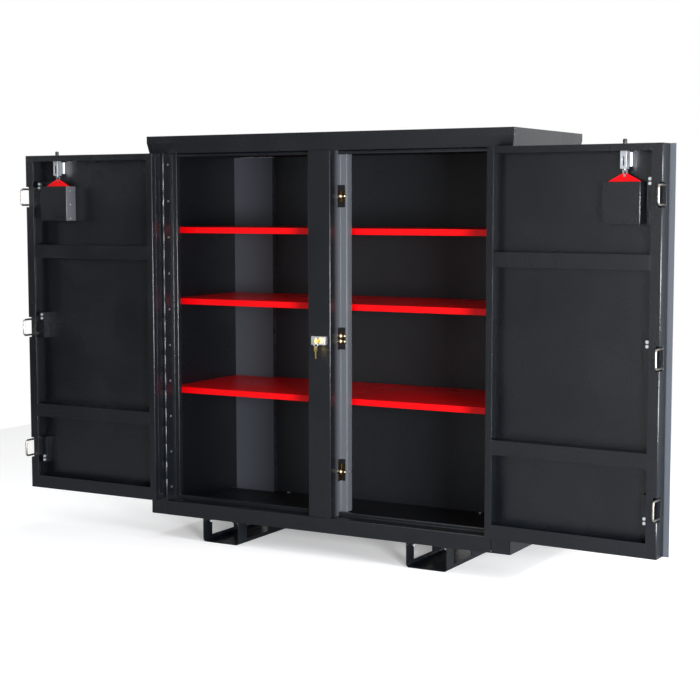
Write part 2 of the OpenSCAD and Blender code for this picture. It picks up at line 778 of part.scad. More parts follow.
module frame_hinge_leaves() color("#2a2c30") in_body() both_sides() translate([-hinge_x, -hinge_out, 0]) {
    plate_front = knuckle_r + leaf_clear;
    difference() {
        union() {
            box([-leaf_t / 2, plate_front, hinge_base], [leaf_t / 2, plate_front + leaf_d, hinge_top]);
            knuckle_row(0)
                box([-leaf_t / 2, 0, 0], [leaf_t / 2, plate_front + over, knuckle_pitch - 2 * knuckle_play]);
        }
        translate([0, 0, hinge_base - over])
            cylinder(h = hinge_top - hinge_base + 2 * over, r = hinge_pin_r + slip);
        for (z = hinge_screw_zs)
            rod_x([-leaf_t / 2 - over, hinge_out + hinge_screw_y, z], leaf_t + 2 * over, screw_hole_r);
    }
}

module hinge_pins() color("#c9ccd0") in_body() both_sides()
    translate([-hinge_x, -hinge_out, hinge_base]) cylinder(h = hinge_top - hinge_base, r = hinge_pin_r);

module door_hinge_leaf(side) color("#2a2c30") in_door(side) {
    plate_x = knuckle_r + leaf_clear;
    web_half = 1.5;
    difference() {
        union() {
            box([plate_x, 0, hinge_base], [edge_x, leaf_d, hinge_top]);
            knuckle_row(1)
                box([0, -web_half, 0], [plate_x + over, web_half, knuckle_pitch - 2 * knuckle_play]);
        }
        translate([0, 0, hinge_base - over])
            cylinder(h = hinge_top - hinge_base + 2 * over, r = hinge_pin_r + slip);
    }
}

// Outer skin of a door, with the mouth of the handle cup
module door_skin(side) color("#26282c") in_door(side) difference() {
    box([edge_x, skin_y, door_bottom], [skin_end, box_y, door_top]);
    box([bolt_x - cup_w / 2 + sheet, skin_y - over, cup_top - cup_h + sheet],
        [bolt_x + cup_w / 2 - sheet, box_y + over, cup_top - sheet]);
}

module hinge_edge(side) color("#2a2c30") in_door(side) translate([0, 0, door_bottom])
    linear_extrude(door_top - door_bottom) folded([
        [edge_x + sheet / 2, box_y + sheet / 2],
        [edge_x + sheet / 2, face_y - sheet / 2],
        [edge_x + hinge_flange - sheet / 2, face_y - sheet / 2]
    ], sheet);

// Lock edge of a door, notched at the striker loops, with the brackets that carry them
module lock_edge(side) color("#2a2c30") in_door(side) {
    difference() {
        translate([0, 0, door_bottom]) linear_extrude(door_top - door_bottom) folded([
            [free_x - sheet / 2, box_y + sheet / 2],
            [free_x - sheet / 2, face_y - sheet / 2],
            [free_x - lock_flange + sheet / 2, face_y - sheet / 2]
        ], sheet);
        for (z = loop_zs)
            box([loop_x - notch_depth, loop_base_y - bracket_t / 2, z - notch_half],
                [free_x + over, face_y + over, z + notch_half]);
    }
    for (z = loop_zs) {
        up = z > lower_loop_z ? bracket_long : bracket_short;
        down = z > lower_loop_z ? bracket_short : bracket_long;
        box([bracket_x, loop_base_y - bracket_t, z - down], [free_x - sheet, loop_base_y, z + up]);
        box([free_x - 2 * sheet, loop_base_y - bracket_t, z - notch_half + 1],
            [loop_x + loop_r + 1, loop_base_y, z + notch_half - 1]);
        box([bracket_x, box_y, z - down], [bracket_x + sheet, loop_base_y, z + up]);
    }
}

// Top and bottom rails of a door: a web between the edges, and a flange in the door's face
module end_rails(side) color("#2a2c30") in_door(side) {
    x0 = edge_x + hinge_flange;
    x1 = free_x - lock_flange;
    difference() {
        union() {
            box([edge_x + sheet, box_y, door_top - sheet], [free_x - sheet, relief_y, door_top]);
            box([x0, box_y, door_top - sheet], [x1, face_y, door_top]);
            box([x0, face_y - sheet, door_top - top_flange], [x1, face_y, door_top]);
        }
        translate([bolt_x, bolt_y, door_top - sheet - over]) cylinder(h = sheet + 2 * over, r = bolt_r + 0.5);
    }
    box([edge_x + sheet, box_y, door_bottom], [free_x - sheet, relief_y, door_bottom + sheet]);
    box([x0, box_y, door_bottom], [x1, face_y, door_bottom + sheet]);
    box([x0, face_y - sheet, door_bottom], [x1, face_y, door_bottom + bottom_flange]);
}

// Flat-topped channels across a door
module cross_rails(side) color("#2a2c30") in_door(side) for (z = cross_zs) {
    low = z - cross_rail_h / 2;
    high = z + cross_rail_h / 2;
    x0 = edge_x + hinge_flange;
    x1 = free_x - lock_flange;
    box([x0, face_y - sheet, low], [x1, face_y, high]);
    for (base = [low, high - sheet]) {
        box([edge_x + sheet, box_y, base], [free_x - sheet, relief_y, base + sheet]);
        box([x0, box_y, base], [x1, face_y, base + sheet]);
    }
}

// Handle cup, open to the outside, with a slot in its top wall for the pull plate
module handle_cup(side) color("#1c1e22") in_door(side) difference() {
    x0 = bolt_x - cup_w / 2;
    x1 = bolt_x + cup_w / 2;
    fork_room = fork_half + fork_play;
    union() {
        translate([0, 0, cup_top - cup_h]) linear_extrude(cup_h) folded([
            [x0 + sheet / 2, box_y + sheet / 2],
            [x0 + sheet / 2, face_y - sheet / 2],
            [x1 - sheet / 2, face_y - sheet / 2],
            [x1 - sheet / 2, box_y + sheet / 2]
        ], sheet);
        for (z = [cup_top - cup_h, cup_top - sheet])
            box([x0 + sheet, box_y, z], [x1 - sheet, face_y - sheet, z + sheet]);
    }
    box([bolt_x - pull_w / 2 - 1, plate_y - plate_t / 2 - 1, cup_top - sheet - over],
        [bolt_x + pull_w / 2 + 1, plate_y + plate_t / 2 + 1, cup_top + over]);
    box([bolt_x - fork_room, plate_y - plate_t / 2 - fork_t - fork_play, cup_top - sheet - over],
        [bolt_x + fork_room, plate_y + plate_t / 2 + screw_head_h + fork_play, cup_top + over]);
}

// Triangular pull plate whose lower edge folds into the cup as a finger bar
module pull_plate(side) color("#ff1020") in_door(side) difference() {
    half = pull_w / 2;
    peak_half = 9;
    bar_half = half - 4;
    front = plate_y - plate_t / 2;
    finger_drop = 28;
    finger_d = 16;
    union() {
        along_y(front, plate_t) polygon([
            [bolt_x - half, cup_top + rest_gap], [bolt_x + half, cup_top + rest_gap],
            [bolt_x + peak_half, cup_top + pull_h], [bolt_x - peak_half, cup_top + pull_h]
        ]);
        box([bolt_x - bar_half, front, cup_top - finger_drop + over],
            [bolt_x + bar_half, front + plate_t, cup_top + over]);
        box([bolt_x - bar_half, plate_y - finger_d, cup_top - finger_drop],
            [bolt_x + bar_half, front + plate_t, cup_top - finger_drop + plate_t]);
    }
    rod_y([bolt_x, plate_y - plate_t, rivet_z], 2 * plate_t, screw_hole_r);
}

// Spring bolt with its stem and the fork riveted to the pull plate
module spring_bolt(side) color("#c9ccd0") in_door(side) {
    fork_y = plate_y - plate_t / 2 - fork_t;
    head_y = plate_y + plate_t / 2;
    prong_w = 6.5;
    chamfer = 3;
    yoke_top = housing_base - 3;
    yoke_base = housing_base - 9;
    translate([bolt_x, bolt_y, 0]) {
        translate([0, 0, bolt_shoulder_z]) cylinder(h = bolt_tip_z - bolt_shoulder_z - chamfer, r = bolt_r);
        translate([0, 0, bolt_tip_z - chamfer]) cylinder(h = chamfer, r1 = bolt_r, r2 = bolt_r - 2.5);
        translate([0, 0, yoke_top - over]) cylinder(h = bolt_shoulder_z - yoke_top + 2 * over, r = stem_r);
    }
    box([bolt_x - fork_half, fork_y, yoke_base], [bolt_x + fork_half, fork_y + 5, yoke_top]);
    for (s = [-1, 1]) translate([s * (fork_half - prong_w / 2), 0, 0])
        box([bolt_x - prong_w / 2, fork_y, rivet_z - 6],
            [bolt_x + prong_w / 2, fork_y + fork_t, yoke_base + over]);
    box([bolt_x - fork_half, fork_y, rivet_z - 6], [bolt_x + fork_half, fork_y + fork_t, rivet_z + 4]);
    rod_y([bolt_x, fork_y + over, rivet_z], head_y - fork_y, screw_r);
    rod_y([bolt_x, head_y, rivet_z], screw_head_h, screw_head_r);
}

module bolt_spring(side) color("#9a9da2") in_door(side)
    translate([bolt_x, bolt_y, housing_base + housing_floor]) difference() {
        cylinder(h = spring_solid + bolt_travel, r = bolt_r - rest_gap);
        translate([0, 0, -over]) cylinder(h = spring_solid + bolt_travel + 2 * over, r = stem_r + 0.4);
    }

// Housing that guides the spring bolt, on a bracket against the skin
module bolt_housing(side) color("#b9bcc1") in_door(side) {
    half = housing_w / 2;
    guide = 18;
    slot_w = 9;
    slot_h = bolt_travel + 12;
    ear_w = 4;
    wall = 2;
    base = housing_base + 8;
    top = housing_top - 8;
    difference() {
        box([bolt_x - half, bolt_y - half, housing_base], [bolt_x + half, bolt_y + half, housing_top]);
        translate([bolt_x, bolt_y, housing_top - guide - over])
            cylinder(h = guide + 2 * over, r = bolt_r + slip);
        translate([bolt_x, bolt_y, housing_base + housing_floor])
            cylinder(h = housing_h - guide - housing_floor, r = chamber_r);
        translate([bolt_x, bolt_y, housing_base - over])
            cylinder(h = housing_floor + 2 * over, r = stem_r + slip);
        slot_y([bolt_x, bolt_y, housing_base + 11 + slot_h / 2], slot_w, slot_h, half + over);
    }
    for (s = [-1, 1]) translate([s * (half - wall / 2), 0, 0])
        box([bolt_x - wall / 2, box_y, base], [bolt_x + wall / 2, bolt_y - half, top]);
    box([bolt_x - half - ear_w, box_y, base], [bolt_x + half + ear_w, box_y + wall, top]);
}

// U-shaped striker loops standing on their brackets
module striker_loops(side) color("#d0d3d7") in_door(side) for (z = loop_zs) {
    half = loop_h / 2 - loop_r;
    bend = 11;
    for (s = [-1, 1]) {
        rod_y([loop_x, loop_base_y, z + s * half], loop_bar_y - bend - loop_base_y, loop_r);
        translate([loop_x, loop_bar_y - bend, z + s * (half - bend)])
            rotate([0, -90, 0]) rotate([0, 0, s > 0 ? 0 : 90])
                rotate_extrude(angle = 90) translate([bend, 0]) circle(loop_r);
    }
    translate([loop_x, loop_bar_y, z - half + bend]) cylinder(h = 2 * (half - bend), r = loop_r);
}

// Nuts with their stud ends on the longer arm of each bracket
module striker_nuts(side) color("#d0d3d7") in_door(side) for (z = loop_zs, i = [0, 1]) {
    up = z > lower_loop_z ? 1 : -1;
    first = loop_h / 2 + 1;
    pitch = 16;
    translate([nut_x, loop_base_y, z + up * (first + pitch * i)]) rotate([-90, 0, 0]) {
        cylinder(h = 6, r = 6.6, $fn = 6);
        cylinder(h = 9, r = 3);
    }
}

floor_panel();
back_panel();
side_panel(-1);  // left_side_panel
side_panel(1);  // right_side_panel
roof_lid();
head_rail();
bottom_rail();
stile(-1);  // left_stile
stile(1);  // right_stile
centre_post();
bar_guides();
frame_screws();
rear_columns();
shelf_clips();
shelf(-1, lower_shelf_z);  // left_lower_shelf
shelf(-1, middle_shelf_z);  // left_middle_shelf
shelf(-1, upper_shelf_z);  // left_upper_shelf
shelf(1, lower_shelf_z);  // right_lower_shelf
shelf(1, middle_shelf_z);  // right_middle_shelf
shelf(1, upper_shelf_z);  // right_upper_shelf
skid(-1);  // left_skid
skid(1);  // right_skid
skid_bolts();
lock_case();
frame_hinge_leaves();
hinge_pins();
lock_cylinder();
key();
key_ring();
spare_key();
bolt_bar(-1);  // left_bolt_bar
lock_pins(-1);  // left_lock_pins
bolt_bar(1);  // right_bolt_bar
lock_pins(1);  // right_lock_pins
door_skin(-1);  // left_door_skin
hinge_edge(-1);  // left_hinge_edge
lock_edge(-1);  // left_lock_edge
end_rails(-1);  // left_end_rails
cross_rails(-1);  // left_cross_rails
handle_cup(-1);  // left_handle_cup
bolt_housing(-1);  // left_bolt_housing
striker_loops(-1);  // left_striker_loops
striker_nuts(-1);  // left_striker_nuts
door_hinge_leaf(-1);  // left_door_hinge_leaf
spring_bolt(-1);  // left_spring_bolt
bolt_spring(-1);  // left_bolt_spring
pull_plate(-1);  // left_pull_plate
door_skin(1);  // right_door_skin
hinge_edge(1);  // right_hinge_edge
lock_edge(1);  // right_lock_edge
end_rails(1);  // right_end_rails
cross_rails(1);  // right_cross_rails
handle_cup(1);  // right_handle_cup
bolt_housing(1);  // right_bolt_housing
striker_loops(1);  // right_striker_loops
striker_nuts(1);  // right_striker_nuts
door_hinge_leaf(1);  // right_door_hinge_leaf
spring_bolt(1);  // right_spring_bolt
bolt_spring(1);  // right_bolt_spring
pull_plate(1);  // right_pull_plate
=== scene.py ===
# Jobsite cabinet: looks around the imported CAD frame. Metres, Z up, doors open as at rest.
import json
import math

import bmesh
import bpy
import numpy as np
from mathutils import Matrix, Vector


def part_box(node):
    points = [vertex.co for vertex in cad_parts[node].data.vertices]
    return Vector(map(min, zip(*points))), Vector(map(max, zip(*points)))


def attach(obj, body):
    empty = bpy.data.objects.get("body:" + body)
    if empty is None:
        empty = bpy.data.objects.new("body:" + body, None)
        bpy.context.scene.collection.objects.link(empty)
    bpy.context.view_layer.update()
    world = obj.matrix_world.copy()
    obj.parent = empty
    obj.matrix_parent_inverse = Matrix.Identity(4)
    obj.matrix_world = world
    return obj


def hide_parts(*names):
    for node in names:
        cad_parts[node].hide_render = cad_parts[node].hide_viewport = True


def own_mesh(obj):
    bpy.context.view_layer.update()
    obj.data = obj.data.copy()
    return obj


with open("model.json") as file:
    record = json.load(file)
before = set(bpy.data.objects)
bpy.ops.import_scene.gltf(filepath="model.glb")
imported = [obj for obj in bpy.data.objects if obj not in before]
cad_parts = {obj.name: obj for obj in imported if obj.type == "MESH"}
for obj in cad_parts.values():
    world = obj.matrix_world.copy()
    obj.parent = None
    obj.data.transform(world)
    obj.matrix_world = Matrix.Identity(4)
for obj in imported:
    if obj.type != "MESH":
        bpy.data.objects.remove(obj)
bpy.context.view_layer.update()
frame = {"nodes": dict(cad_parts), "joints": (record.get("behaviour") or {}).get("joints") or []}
mm = 0.001
sides = ("left", "right")
print("frame loaded:", len(frame["nodes"]), "nodes")


# sRGB hex to linear RGBA
def toLinear(hexColour):
    parts = [int(hexColour[i:i + 2], 16) / 255 for i in (1, 3, 5)]
    return [c / 12.92 if c <= 0.04045 else ((c + 0.055) / 1.055) ** 2.4 for c in parts] + [1.0]


# one node: the values of its sockets, what feeds them, and its settings; a socket goes by name or number
def addNode(tree, kind, values=None, links=None, **settings):
    node = tree.nodes.new(kind)
    for name, value in settings.items():
        setattr(node, name, value)
    for socket, value in (values or {}).items():
        node.inputs[socket].default_value = value
    for socket, source in (links or {}).items():
        tree.links.new(source, node.inputs[socket])
    return node


def newMaterial(name):
    material = bpy.data.materials.new(name)
    material.use_nodes = True
    material.node_tree.nodes.clear()
    return material, material.node_tree


# Satin polyester powder coat. Roughness drifts from smoother to rougher over clouds, where their noise runs
# through its span; peel is the orange peel and pit the hammer marks, each with its spacing and depth.
satinSkin = {
    "gloss": 0.22, "smoother": 0.05, "rougher": 0.09, "cloudMm": 240.0, "cloudSpan": (0.3, 0.7), "ior": 1.5,
    "peelMm": 4.5, "peelDepthMm": 1.2, "peelStrength": 0.8,
    "pitMm": 3.2, "pitDepthMm": 0.25, "pitStrength": 0.25,
}
dullSkin = {**satinSkin, "gloss": 0.52, "pitStrength": 0.15}
redSkin = {**satinSkin, "gloss": 0.32, "ior": 1.3, "peelMm": 9.0, "peelDepthMm": 0.8, "pitMm": 4.0,
           "pitStrength": 0.08}
powderCoat = {
    # outside and doors: near-black anthracite, satin
    "body": {**satinSkin, "dark": "#080b0f", "light": "#0e1217"},
    # lid: the same coat, painted a shade lighter, a painted highlight for the light the lid catches
    "lid": {**satinSkin, "dark": "#0a0d11", "light": "#10141a"},
    # inner walls: black and dull, with hardly a reflection
    "inner": {**dullSkin, "dark": "#0b0e12", "light": "#12161b", "ior": 1.45},
    # rear columns: dull mid grey
    "column": {**dullSkin, "dark": "#3c4047", "light": "#4a4e56"},
    # trays: bright red, flowed out smooth
    "shelf": {**redSkin, "dark": "#e0020a", "light": "#f4060e"},
    # pull plates: the same red, brighter and smoother still
    "pull": {**redSkin, "dark": "#f2020c", "light": "#ff0812", "pitStrength": 0.05},
}


# Textured powder coat on sheet steel: a skin with the soft lumps of orange peel and the pits of hammer marks.
# Real lumps are about 2 mm across; they are drawn coarser so that they show. Powder lies thinner in a recess
# and on side faces, so where such a place is given the skin there is rougher; there it is also painted a
# lighter grey, a painted highlight for the light those faces catch.
def coatedSteel(name, coat, thinAndPaintedLight=None):
    material, tree = newMaterial(name)
    coords = addNode(tree, "ShaderNodeTexCoord").outputs
    lumps = addNode(tree, "ShaderNodeTexNoise",
                    {"Scale": 1 / (coat["peelMm"] * mm), "Detail": 3.0, "Roughness": 0.55},
                    {"Vector": coords["Object"]}).outputs["Fac"]
    pits = addNode(tree, "ShaderNodeTexVoronoi", {"Scale": 1 / (coat["pitMm"] * mm)},
                   {"Vector": coords["Object"]}).outputs["Distance"]
    cloud = addNode(tree, "ShaderNodeTexNoise", {"Scale": 1 / (coat["cloudMm"] * mm), "Detail": 2.0},
                    {"Vector": coords["Object"]}).outputs["Fac"]
    tint = addNode(tree, "ShaderNodeMixRGB",
                   {"Color1": toLinear(coat["dark"]), "Color2": toLinear(coat["light"])},
                   {"Fac": lumps}).outputs["Color"]
    gloss = addNode(tree, "ShaderNodeMapRange",
                    {"From Min": coat["cloudSpan"][0], "From Max": coat["cloudSpan"][1],
                     "To Min": coat["gloss"] - coat["smoother"], "To Max": coat["gloss"] + coat["rougher"]},
                    {"Value": cloud}).outputs["Result"]
    if thinAndPaintedLight:
        place = addNode(tree, "ShaderNodeSeparateXYZ", {}, {"Vector": coords[thinAndPaintedLight["source"]]})
        reach = addNode(tree, "ShaderNodeMapRange", {"From Min": thinAndPaintedLight["start"], "From Max": thinAndPaintedLight["end"]},
                        {"Value": place.outputs[thinAndPaintedLight["axis"]]}).outputs["Result"]
        gloss = addNode(tree, "ShaderNodeMapRange", {"To Max": thinAndPaintedLight["gloss"]},
                        {"Value": reach, "To Min": gloss}).outputs["Result"]
        # painted highlight: the skin is mixed towards a lighter grey tint, painted light on the side faces
        # and recesses
        tint = addNode(tree, "ShaderNodeMixRGB", {"Color2": toLinear(thinAndPaintedLight["tint"])},
                       {"Fac": reach, "Color1": tint}).outputs["Color"]
    peel = addNode(tree, "ShaderNodeBump",
                   {"Strength": coat["peelStrength"], "Distance": coat["peelDepthMm"] * mm},
                   {"Height": lumps})
    hammered = addNode(tree, "ShaderNodeBump",
                       {"Strength": coat["pitStrength"], "Distance": coat["pitDepthMm"] * mm},
                       {"Height": pits, "Normal": peel.outputs["Normal"]})
    skin = addNode(tree, "ShaderNodeBsdfPrincipled", {"IOR": coat["ior"], "Metallic": 0.0},
                   {"Base Color": tint, "Roughness": gloss, "Normal": hammered.outputs["Normal"]})
    addNode(tree, "ShaderNodeOutputMaterial", {}, {"Surface": skin.outputs["BSDF"]})
    return material


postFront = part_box("centre_post")[0][1]
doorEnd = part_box("right_door_skin")[1][0]
# where powder lies thin and a painted highlight goes: a coordinate, and the two values of it between which
# the skin turns dull and is painted a lighter grey
thinAndPaintedLightPlaces = {
    "post": {"source": "Object", "axis": "Y", "start": postFront + 30 * mm, "end": postFront + 84 * mm,
             "gloss": 0.5, "tint": "#585b60"},
    "edge": {"source": "Object", "axis": "X", "start": doorEnd - 24 * mm, "end": doorEnd - 19 * mm,
             "gloss": 0.5, "tint": "#4c5158"},
    # the cups' side walls, chosen by which way they face, get the painted highlight too
    "left_cup": {"source": "Normal", "axis": "X", "start": 0.5, "end": 0.95, "gloss": 0.5,
                 "tint": "#4a4c50"},
    "right_cup": {"source": "Normal", "axis": "X", "start": -0.5, "end": -0.95, "gloss": 0.5,
                  "tint": "#4a4c50"},
}
anthraciteCoat = coatedSteel("anthracite_powder_coat", powderCoat["body"])
thinAndPaintedLightCoat = {place: coatedSteel(f"anthracite_{place}_coat", powderCoat["body"], thinAndPaintedLight)
            for place, thinAndPaintedLight in thinAndPaintedLightPlaces.items()}
lidCoat = coatedSteel("anthracite_lid_coat", powderCoat["lid"])
innerCoat = coatedSteel("black_inner_coat", powderCoat["inner"])
columnCoat = coatedSteel("grey_column_coat", powderCoat["column"])
shelfRed = coatedSteel("red_shelf_coat", powderCoat["shelf"])
pullRed = coatedSteel("red_pull_coat", powderCoat["pull"])
print("powder coats made")

# Plated and bare metal. Grain is the size of the drawn lines or plating grain, and fineness how many times
# finer it is along x, y and z. Roughness rises from gloss by rougher as the grain runs through its span.
bareMetal = {"rougher": 0.14, "grainSpan": (0.25, 0.75), "fineness": (1, 1, 1), "reliefMm": 0.2,
             "relief": 0.1}
platedSteel = {
    # clear-passivated zinc: pale, faintly blue satin
    "zinc": {**bareMetal, "colour": "#dcdfe3", "dull": "#c8ccd1", "gloss": 0.34, "grainMm": 3.0,
             "relief": 0.12},
    # satin chrome: whiter and smoother than zinc
    "chrome": {**bareMetal, "colour": "#f4f6f8", "dull": "#d9dce0", "gloss": 0.32, "grainMm": 6.0,
               "relief": 0.06},
    # drawn wire: darker grey with fine lines
    "spring": {**bareMetal, "colour": "#a9acb0", "dull": "#8c8f94", "gloss": 0.28, "grainMm": 1.5},
    # yellow-passivated pins: cream with fine lines along them
    "pin": {**bareMetal, "colour": "#efe6cc", "dull": "#dcc795", "gloss": 0.26, "grainMm": 2.5,
            "fineness": (1, 8, 8), "relief": 0.08},
    # old zinc on bent wire: warm grey, polished by use
    "loop": {**bareMetal, "colour": "#b9b4a9", "dull": "#9a948a", "gloss": 0.2, "grainMm": 3.0},
    # yellow passivation on flat bar: brown, with long upright blotches
    "bar": {**bareMetal, "colour": "#54432a", "dull": "#33291a", "gloss": 0.5, "grainMm": 12.0,
            "fineness": (1, 1, 0.3), "relief": 0.12},
    # milled key brass: pale gold with milling lines
    "key": {**bareMetal, "colour": "#dcc07a", "dull": "#c0a05a", "gloss": 0.24, "grainMm": 1.5,
            "fineness": (1, 1, 8)},
}


# bare or plated metal: fully metallic, its roughness broken by fine drawn lines or plating grain
def metal(name, facts):
    material, tree = newMaterial(name)
    point = addNode(tree, "ShaderNodeTexCoord").outputs["Object"]
    place = addNode(tree, "ShaderNodeMapping", {"Scale": facts["fineness"]}, {"Vector": point})
    grain = addNode(tree, "ShaderNodeTexNoise",
                    {"Scale": 1 / (facts["grainMm"] * mm), "Detail": 4.0, "Roughness": 0.6},
                    {"Vector": place.outputs["Vector"]}).outputs["Fac"]
    tint = addNode(tree, "ShaderNodeMixRGB",
                   {"Color1": toLinear(facts["dull"]), "Color2": toLinear(facts["colour"])}, {"Fac": grain})
    gleam = addNode(tree, "ShaderNodeMapRange",
                    {"From Min": facts["grainSpan"][0], "From Max": facts["grainSpan"][1],
                     "To Min": facts["gloss"], "To Max": facts["gloss"] + facts["rougher"]}, {"Value": grain})
    bump = addNode(tree, "ShaderNodeBump",
                   {"Strength": facts["relief"], "Distance": facts["reliefMm"] * mm}, {"Height": grain})
    skin = addNode(tree, "ShaderNodeBsdfPrincipled", {"Metallic": 1.0},
                   {"Base Color": tint.outputs["Color"], "Roughness": gleam.outputs["Result"],
                    "Normal": bump.outputs["Normal"]})
    addNode(tree, "ShaderNodeOutputMaterial", {}, {"Surface": skin.outputs["BSDF"]})
    return material


# the shank's and the tip's two colours and roughness, the size of the mottling noise, and the heights in mm
# over which the tip begins
boltTipTone = {
    "shankTone": ("#9fa3a8", "#c4c8cd"), "shankGloss": 0.28, "tipTone": ("#2b2b2b", "#4a4b4d"),
    "tipGloss": 0.45, "mottleMm": 5.0, "fromMm": 1600.0, "toMm": 1608.0,
}


# Zinc-plated spring bolt, brighter where it slides in its housing and darker, rougher and mottled at the tip
# that stands over the door.
def darkTippedBolt():
    material, tree = newMaterial("dark_tipped_zinc_bolt")
    point = addNode(tree, "ShaderNodeTexCoord").outputs["Object"]
    height = addNode(tree, "ShaderNodeSeparateXYZ", {}, {"Vector": point}).outputs["Z"]
    mottle = addNode(tree, "ShaderNodeTexNoise", {"Scale": 1 / (boltTipTone["mottleMm"] * mm), "Detail": 3.0},
                    {"Vector": point}).outputs["Fac"]
    # over these heights the bolt turns from the shank's colour and roughness to the tip's darker, rougher
    # ones
    tip = addNode(tree, "ShaderNodeMapRange",
                  {"From Min": boltTipTone["fromMm"] * mm, "From Max": boltTipTone["toMm"] * mm},
                  {"Value": height}).outputs["Result"]
    shankTone, tipTone = (
        addNode(tree, "ShaderNodeMixRGB", {"Color1": toLinear(dark), "Color2": toLinear(light)},
                {"Fac": mottle})
        for dark, light in (boltTipTone["shankTone"], boltTipTone["tipTone"]))
    tint = addNode(tree, "ShaderNodeMixRGB", {},
                   {"Fac": tip, "Color1": shankTone.outputs["Color"], "Color2": tipTone.outputs["Color"]})
    film = addNode(tree, "ShaderNodeMapRange",
                   {"To Min": boltTipTone["shankGloss"], "To Max": boltTipTone["tipGloss"]}, {"Value": tip})
    skin = addNode(tree, "ShaderNodeBsdfPrincipled", {"Metallic": 1.0},
                   {"Base Color": tint.outputs["Color"], "Roughness": film.outputs["Result"]})
    addNode(tree, "ShaderNodeOutputMaterial", {}, {"Surface": skin.outputs["BSDF"]})
    return material


zincPlate = metal("bright_zinc_plate", platedSteel["zinc"])
chromePlate = metal("satin_chrome_plate", platedSteel["chrome"])
springSteel = metal("drawn_spring_steel", platedSteel["spring"])
pinBrass = metal("yellow_passivated_pins", platedSteel["pin"])
loopZinc = metal("cream_zinc_wire", platedSteel["loop"])
barPassivate = metal("yellow_passivated_bar", platedSteel["bar"])
boltSteel = darkTippedBolt()
keyBrass = metal("milled_key_brass", platedSteel["key"])
print("metals made")


# a part's names on both sides of the cabinet
def both(*parts):
    return [f"{side}_{part}" for side in sides for part in parts]


nodeFinish = {
    lidCoat: ["roof_lid"],
    anthraciteCoat: ["bottom_rail", "head_rail", "frame_hinge_leaves"] + both(
        "side_panel", "stile", "skid", "hinge_edge", "lock_edge", "end_rails", "cross_rails",
        "door_hinge_leaf"),
    innerCoat: ["floor_panel", "back_panel", "shelf_clips"],
    columnCoat: ["rear_columns"],
    # the centre post, door skins and handle cups carry the painted highlight on their side faces and recesses
    thinAndPaintedLightCoat["post"]: ["centre_post"],
    thinAndPaintedLightCoat["edge"]: both("door_skin"),
    thinAndPaintedLightCoat["left_cup"]: ["left_handle_cup"],
    thinAndPaintedLightCoat["right_cup"]: ["right_handle_cup"],
    shelfRed: both("lower_shelf", "middle_shelf", "upper_shelf"),
    pullRed: both("pull_plate"),
    zincPlate: ["frame_screws", "skid_bolts", "hinge_pins"] + both("bolt_housing"),
    chromePlate: ["lock_case", "key_ring"] + both("striker_nuts"),
    springSteel: both("bolt_spring"),
    pinBrass: both("lock_pins"),
    loopZinc: both("striker_loops"),
    barPassivate: ["bar_guides"] + both("bolt_bar"),
    boltSteel: both("spring_bolt"),
    keyBrass: ["lock_cylinder", "key", "spare_key"],
}
sheetEdges = {"radius": 0.7 * mm, "steps": 2, "weld": 0.01 * mm, "angle": math.radians(35),
              "sharp": ("frame_screws", "skid_bolts", "shelf_clips", "hinge_pins")}


# sheet and turned parts have no knife edges: the loose triangles are welded and their edges rounded
def roundEdges(node):
    weld = node.modifiers.new("weld", "WELD")
    weld.merge_threshold = sheetEdges["weld"]
    bevel = node.modifiers.new("edges", "BEVEL")
    bevel.width = sheetEdges["radius"]
    bevel.segments = sheetEdges["steps"]
    bevel.limit_method = "ANGLE"
    bevel.angle_limit = sheetEdges["angle"]


for material, names in nodeFinish.items():
    for name in names:
        node = frame["nodes"][name]
        node.data.materials.clear()
        node.data.materials.append(material)
        if name not in sheetEdges["sharp"]:
            roundEdges(node)
print("finishes given to", sum(len(names) for names in nodeFinish.values()), "nodes")


# A closed smooth piece that rides on a CAD body, from an array of rings of points in metres: quads join each
# ring to the next, a flat cap shuts the first and the last, and every face is turned outwards.
def ringPiece(name, rings, material, body):
    rows, columns = rings.shape[:2]
    r = np.arange(rows - 1)[:, None] * columns
    c = np.arange(columns)[None, :]
    n = (c + 1) % columns
    quads = np.stack([r + c, r + n, r + columns + n, r + columns + c], axis=-1).reshape(-1, 4)
    caps = np.arange(rows * columns).reshape(rows, columns)[[0, -1]]
    mesh = bpy.data.meshes.new(name)
    mesh.from_pydata(rings.reshape(-1, 3).tolist(), [], quads.tolist() + caps.tolist())
    mesh.polygons.foreach_set("use_smooth", np.arange(len(mesh.polygons)) < len(quads))
    mesh.materials.append(material)
    work = bmesh.new()
    work.from_mesh(mesh)
    bmesh.ops.recalc_face_normals(work, faces=work.faces)
    work.to_mesh(mesh)
    work.free()
    piece = bpy.data.objects.new(name, mesh)
    bpy.context.scene.collection.objects.link(piece)
    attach(piece, body)
    return piece


# wire radius in mm, endRise the share of the height that the flat end turns climb
coilSpring = {"wire": 0.85, "turns": 9.0, "endTurns": 1.2, "endRise": 0.12, "steps": 30, "round": 10,
              "keep": 0.43}


